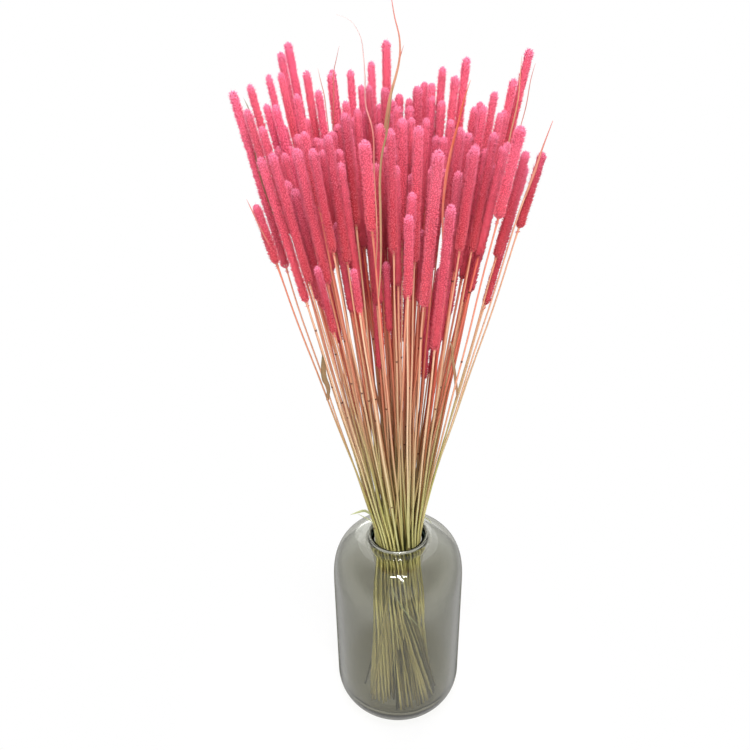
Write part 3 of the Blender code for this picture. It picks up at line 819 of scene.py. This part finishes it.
for number, (name, height, width, tones, turns, points) in enumerate(LEAVES, start=1):
    foot = line_at(stalk_rings[name], np.array([height * CM]))
    points = np.concatenate([foot, np.array(points) * CM])
    share = np.linspace(0, 1, len(points))
    growth = Growth()
    grow_blade(growth, points, np.interp(share, *BLADE_OUTLINE) * width * MM,
               np.interp(share, (0, 1), turns), tones, LEAF_GRAIN, finish=0)
    growth.piece(f"dry_leaf_{number:02d}", [dried_leaf])

# ---------------------------------------------------------------------------------------------
# The rest of the bunch: as many stalks again, of the same grass, stand between and behind the
# others. They are pushed into the gaps by hand, so they bend aside where the bunch is crowded.

# Stalks chosen one by one: tip across, deep and high in cm, spike length in cm, width in mm.
INNER_STALKS = [
    (-9.5, -3.0, 60.2, 8.0, 6.4), (-5.35, 8.0, 62.7, 9.0, 6.4), (-3.0, 2.0, 60.6, 9.0, 6.4),
    (0.0, 2.0, 60.8, 9.5, 6.6), (0.95, 0.0, 60.3, 9.0, 6.2), (7.6, 1.0, 60.5, 8.0, 5.6),
]
FILLING_STALKS = 68
FILL_MIDDLE = np.array((-0.2, 1.9)) * CM
FILL_REACH = np.array((9.6, 6.9)) * CM
FILL_TOP = 60.2 * CM
FILL_TILT = 0.22
FILL_DROP = 3.4 * CM
FILL_LENGTHS = (7, 11)      # of the spikes, in cm
FILL_WIDTHS = (6, 7.4)      # of the spikes, in mm
FILL_STEM = 1.1 * MM
LOW_STALKS = 22
LOW_REACH = np.array((7.6, 5.2)) * CM
LOW_TOP = 55 * CM
LOW_DROP = 9 * CM
LOW_LENGTHS = (6, 9)
LOW_WIDTHS = (5.4, 6.6)
FILL_SEED, LOW_SEED, PUSH_SEED, INNER_SEED = 2025, 7, 5, 100
NECK_MUDDLE = 6 * MM
WANDER = 3 * MM
FAN_APEX = 140 * MM
NECK_LEVEL = 205 * MM
FOOT_LEVEL = 7.4 * MM
FOOT_TURN = np.array([[-1.3, -0.9], [0.9, -1.7]])
FOOT_SHIFT = np.array((17, -13)) * MM
STRAYS = [0, 2]     # stalks, counted from the front, whose feet stand apart from the others
STRAY_FEET = np.array([(-27, -31), (-36, -10)]) * MM
LEVELS = np.array([FOOT_LEVEL, 70 * MM, 140 * MM, NECK_LEVEL, 270 * MM, 370 * MM, 470 * MM,
                   650 * MM])
OPEN_BACK = 12.6 * MM
OPEN_TOP = 219 * MM
WALL_AIR = 1.5 * MM
WALL_MORE = 4 * MM
STEM_AIR = 0.15 * MM
SPIKE_CLOSENESS = 0.92
PUSH_STEP = 18 * MM
ROUNDS = 160
EASE = 0.3
STIFFNESS = 0.03
TIP_HOLD = 0.4
INNER_STEM_RADII = (1.3 * MM, 1.05 * MM)
INNER_STEM_SIDES = 6
# The inner stems' low paleness is painted shade: it darkens them deep in the bunch.
INNER_STEM_SHADED_PALENESS = 0.32
TONE_WITH_DEPTH = 4
FILL_PODS = 0.8
LOW_PODS = 0.55
PIECES = 5
ROWS_FROM, ROWS_HIGH, ROW_HIGH, ROWS_RIGHT = 0.01, 0.98, 0.97, 0.77     # of the bake sheet


def shares_of(heights):
    """How each height divides between the levels below and above it, a row for each height."""
    span = np.clip(np.searchsorted(LEVELS, heights, side="right") - 1, 0, len(LEVELS) - 2)
    part = (heights - LEVELS[span]) / (LEVELS[span + 1] - LEVELS[span])
    rows = np.zeros((len(heights), len(LEVELS)))
    rows[np.arange(len(heights)), span] = 1 - part
    rows[np.arange(len(heights)), span + 1] = part
    return rows


def thickness_of(heights, top, length, width, stem):
    """A stalk's radius at each height, and nothing above its tip."""
    radius = np.where(heights > top - length, width / 2 * SPIKE_CLOSENESS, stem)
    return np.where(heights > top, 0, radius)


def push_in(stalks):
    """Lines for more stalks, moved aside until they clear the solid ones and each other."""
    chance = np.random.default_rng(PUSH_SEED)
    tips = stalks[:, :3]
    lean = tips[:, :2] / (tips[:, 2:] - FAN_APEX)
    neck = lean * (NECK_LEVEL - FAN_APEX) + chance.normal(0, NECK_MUDDLE, lean.shape)
    foot = neck @ FOOT_TURN.T + FOOT_SHIFT
    foot[STRAYS] = STRAY_FEET
    levels = LEVELS[:, None, None]
    up = (levels - NECK_LEVEL) / (tips[:, 2:] - NECK_LEVEL)
    down = (NECK_LEVEL - levels) / (NECK_LEVEL - FOOT_LEVEL)
    lines = neck + np.where(down > 0, (foot - neck) * down, (tips[:, :2] - neck) * up)
    lines += chance.normal(0, WANDER, lines.shape) * (up > 0)
    heights = np.arange(FOOT_LEVEL, LEVELS[-1], PUSH_STEP)
    shares, hold = shares_of(heights), shares_of(tips[:, 2])
    radii = np.stack([thickness_of(heights, *stalk[2:], FILL_STEM) for stalk in stalks], axis=1)
    solid_at, solid_radii = [], []
    for rings in stalk_rings.values():
        base, tip, radius = spike_of(rings)
        solid_at.append(line_at(rings, heights)[:, :2])
        solid_radii.append(thickness_of(heights, tip, tip - base, 2 * radius, rings[0, 3]))
    solid_at, solid_radii = np.stack(solid_at, axis=1), np.stack(solid_radii, axis=1)
    others = np.concatenate([radii, solid_radii], axis=1)
    both = (radii > 0)[:, :, None] & (others > 0)[:, None, :]
    both[:, np.arange(len(stalks)), np.arange(len(stalks))] = False
    need = radii[:, :, None] + others[:, None, :] + STEM_AIR
    room = np.interp(heights, inside[:, 1], inside[:, 0]) - WALL_AIR
    in_vase = (heights < vase_top + WALL_MORE)[:, None]
    in_back = (heights < OPEN_TOP)[:, None]
    part_way = ((LEVELS[1:-1] - LEVELS[:-2]) / (LEVELS[2:] - LEVELS[:-2]))[:, None, None]
    for _ in range(ROUNDS):
        at = np.einsum("sl,lnc->snc", shares, lines)
        apart = at[:, :, None] - np.concatenate([at, solid_at], axis=1)[:, None]
        distance = np.linalg.norm(apart, axis=3) + 1e-9
        short = np.where(both, (need - distance).clip(0), 0)
        push = (apart * (short / distance)[..., None]).sum(axis=2)
        reach = np.linalg.norm(at, axis=2) + 1e-9
        over = (reach + radii - room[:, None]).clip(0) * in_vase
        push -= at * (2 * over / reach)[..., None]
        push[..., 1] -= 2 * (at[..., 1] + radii - OPEN_BACK).clip(0) * in_back
        lines += np.einsum("sl,snc->lnc", shares, push) * EASE
        straight = lines[:-2] + (lines[2:] - lines[:-2]) * part_way
        lines[1:-1] += (straight - lines[1:-1]) * STIFFNESS
        off = tips[:, :2] - np.einsum("nl,lnc->nc", hold, lines)
        lines += np.einsum("nl,nc->lnc", hold, off) * TIP_HOLD
    return lines


def sunflower(count, reach):
    """Evenly spread points over an oval, as seeds lie in a sunflower."""
    number = np.arange(count)
    turn = number * GOLDEN_ANGLE
    out = np.sqrt((number + 0.5) / count)[:, None]
    return FILL_MIDDLE + reach * out * np.stack([np.cos(turn), np.sin(turn)], axis=1)


def low_stalks():
    """Shorter stalks whose spikes stay deep in the bunch, among the stems of the others."""
    chance = np.random.default_rng(LOW_SEED)
    high = LOW_TOP - chance.uniform(0, LOW_DROP, LOW_STALKS)
    flat = sunflower(LOW_STALKS, LOW_REACH) * ((high - FAN_APEX) / (LOW_TOP - FAN_APEX))[:, None]
    long, wide = (chance.uniform(*span, LOW_STALKS) for span in (LOW_LENGTHS, LOW_WIDTHS))
    return np.column_stack([flat, high, long * CM, wide * MM])


chance = np.random.default_rng(FILL_SEED)
flat = sunflower(FILLING_STALKS, FILL_REACH)
high = FILL_TOP + FILL_TILT * flat[:, 1] - chance.uniform(0, FILL_DROP, FILLING_STALKS)
long, wide = (chance.uniform(*span, FILLING_STALKS) for span in (FILL_LENGTHS, FILL_WIDTHS))
inner = np.concatenate([np.array(INNER_STALKS) * (CM, CM, CM, CM, MM),
                        np.column_stack([flat, high, long * CM, wide * MM]), low_stalks()])
inner = inner[np.argsort(inner[:, 1])]
lines = push_in(inner)
bundles = np.array_split(np.arange(len(inner)), PIECES)
for bundle_number, bundle in enumerate(bundles, start=1):
    growth = Growth()
    for order, number in enumerate(bundle):
        chance = np.random.default_rng(INNER_SEED + number)
        _, deep, tip, long, wide = inner[number]
        tone = chance.uniform(*TONES) + TONE_WITH_DEPTH * deep
        pale = chance.normal(*PALENESS)
        base = tip - long
        share = FILL_PODS if tip > LOW_TOP else LOW_PODS
        radii = np.interp(LEVELS, (FOOT_LEVEL, base), INNER_STEM_RADII)
        rings = np.column_stack([lines[:, number], LEVELS, radii])
        # Painted shade: the inner stems are darker, through their low paleness.
        grow_stem(growth, rings, base + STEM_INTO_SPIKE, tone, chance, sides=INNER_STEM_SIDES,
                  pale=INNER_STEM_SHADED_PALENESS)
        low = ROWS_FROM + ROWS_HIGH * order / len(bundle)
        grow_spike(growth, rings, base, tip, wide / 2, tone, pale, chance, share=share,
                   sheet=(ROWS_FROM, low, ROWS_RIGHT, low + ROW_HIGH / len(bundle)))
    growth.piece(f"inner_stalks_{bundle_number}", [straw, dyed_spike])

# ---------------------------------------------------------------------------------------------
# The floor and the light: a plain pale studio floor under a cluster of small round lamps, with
# one lamp behind that only glances off the glass, and a large soft lamp behind and in front.

FLOOR_SIZE = 8.0
FLOOR_PAINT = (246, 246, 246)
FLOOR_DIM = 0.78
FLOOR_DIM_FROM, FLOOR_DIM_TO = 0.06, 0.26
ROOM_LIGHT = 0.38
OVERHEAD_LAMPS = ((-0.16, -0.46), (0.02, -0.3), (0.06, -0.55), (0.24, -0.42), (0.12, -0.85),
                  (0.2, -1.1))
OVERHEAD_HEIGHT = 1.9
MIDDLE = (0, 0, 0.4)
SHOULDER_MIDDLE = (0, 0, 0.2)


def seen_straight(flow):
    """1 where a ray from the camera, a mirror or clear glass looks at this, and otherwise 0."""
    rays = [flow.node("ShaderNodeLightPath", output=kind)
            for kind in ("Is Camera Ray", "Is Glossy Ray", "Is Transmission Ray")]
    return flow.maths("MAXIMUM", rays[0], flow.maths("MAXIMUM", rays[1], rays[2]))


floor_white, flow = start_finish("pale_floor")
spot = flow.node("ShaderNodeTexCoord", output="Object")
away = flow.node("ShaderNodeVectorMath", {"operation": "LENGTH"}, {0: spot}, output="Value")
painted = flow.node("ShaderNodeBsdfDiffuse", sockets={"Color": shade(*FLOOR_PAINT)})
glowing = flow.node("ShaderNodeEmission", sockets={"Color": (1, 1, 1, 1), "Strength": 1.0})
bright = away.ramp(FLOOR_DIM_FROM, FLOOR_DIM_TO) * (1 - FLOOR_DIM) + FLOOR_DIM
flow.node("ShaderNodeOutputMaterial", sockets={"Surface": flow.node(
    "ShaderNodeMixShader", sockets={0: seen_straight(flow) * bright, 1: painted, 2: glowing})})
floor_mesh = bpy.data.meshes.new("floor")
half = FLOOR_SIZE / 2
floor_mesh.from_pydata([(-half, -half, 0), (half, -half, 0), (half, half, 0), (-half, half, 0)],
                       [], [(0, 1, 2, 3)])
floor_mesh.materials.append(floor_white)
floor = bpy.data.objects.new("floor", floor_mesh)
bpy.context.scene.collection.objects.link(floor)

world = bpy.data.worlds.new("studio")
bpy.context.scene.world = world
world.use_nodes = True
world.node_tree.nodes.clear()
flow = Flow(world.node_tree)
room = flow.node("ShaderNodeBackground", sockets={"Color": (1, 1, 1, 1), "Strength": ROOM_LIGHT})
backdrop = flow.node("ShaderNodeBackground", sockets={"Color": (1, 1, 1, 1), "Strength": 1.0})
flow.node("ShaderNodeOutputWorld", sockets={"Surface": flow.node(
    "ShaderNodeMixShader", sockets={0: seen_straight(flow), 1: room, 2: backdrop})})


def softbox(name, place, aim, size, power):
    """A round soft lamp that faces a point."""
    light = bpy.data.lights.new(name, "AREA")
    light.shape = "DISK"
    light.size = size
    light.energy = power
    lamp = bpy.data.objects.new(name, light)
    lamp.location = place
    turn = (np.array(aim) - place).tolist()
    lamp.rotation_euler = Vector(turn).to_track_quat("-Z", "Y").to_euler()
    bpy.context.scene.collection.objects.link(lamp)
    return lamp


for across, deep in OVERHEAD_LAMPS:
    softbox("overhead_lamp", (across, deep, OVERHEAD_HEIGHT), MIDDLE, size=0.16, power=3.5)
sheen_lamp = softbox("sheen_lamp", (0, 1.6, 1.8), SHOULDER_MIDDLE, size=1.3, power=4)
sheen_lamp.visible_diffuse = False
rear_lamp = softbox("rear_lamp", (-0.3, 2.6, 1.3), MIDDLE, size=2.6, power=42)
rear_lamp.visible_glossy = False
front_lamp = softbox("front_lamp", (0.3, -2.6, 1.3), MIDDLE, size=2.6, power=50)
front_lamp.visible_glossy = False

# ---------------------------------------------------------------------------------------------
# The camera stands in front of the bunch, level with its tips, and looks down at the vase.

CAMERA_HEIGHT = 0.694
CAMERA_DISTANCE = 0.558
CAMERA_DOWN = 28.7
CAMERA_LENS = 35.2
CAMERA_SENSOR = 36
CAMERA_SHIFT = -0.0307
camera = bpy.data.objects.new("camera", bpy.data.cameras.new("camera"))
camera.location = (0, -CAMERA_DISTANCE, CAMERA_HEIGHT)
camera.rotation_euler = (math.radians(90 - CAMERA_DOWN), 0, 0)
camera.data.lens = CAMERA_LENS
camera.data.sensor_width = CAMERA_SENSOR
camera.data.shift_x = CAMERA_SHIFT
bpy.context.scene.collection.objects.link(camera)
bpy.context.scene.camera = camera
bpy.context.scene.view_settings.view_transform = "Standard"
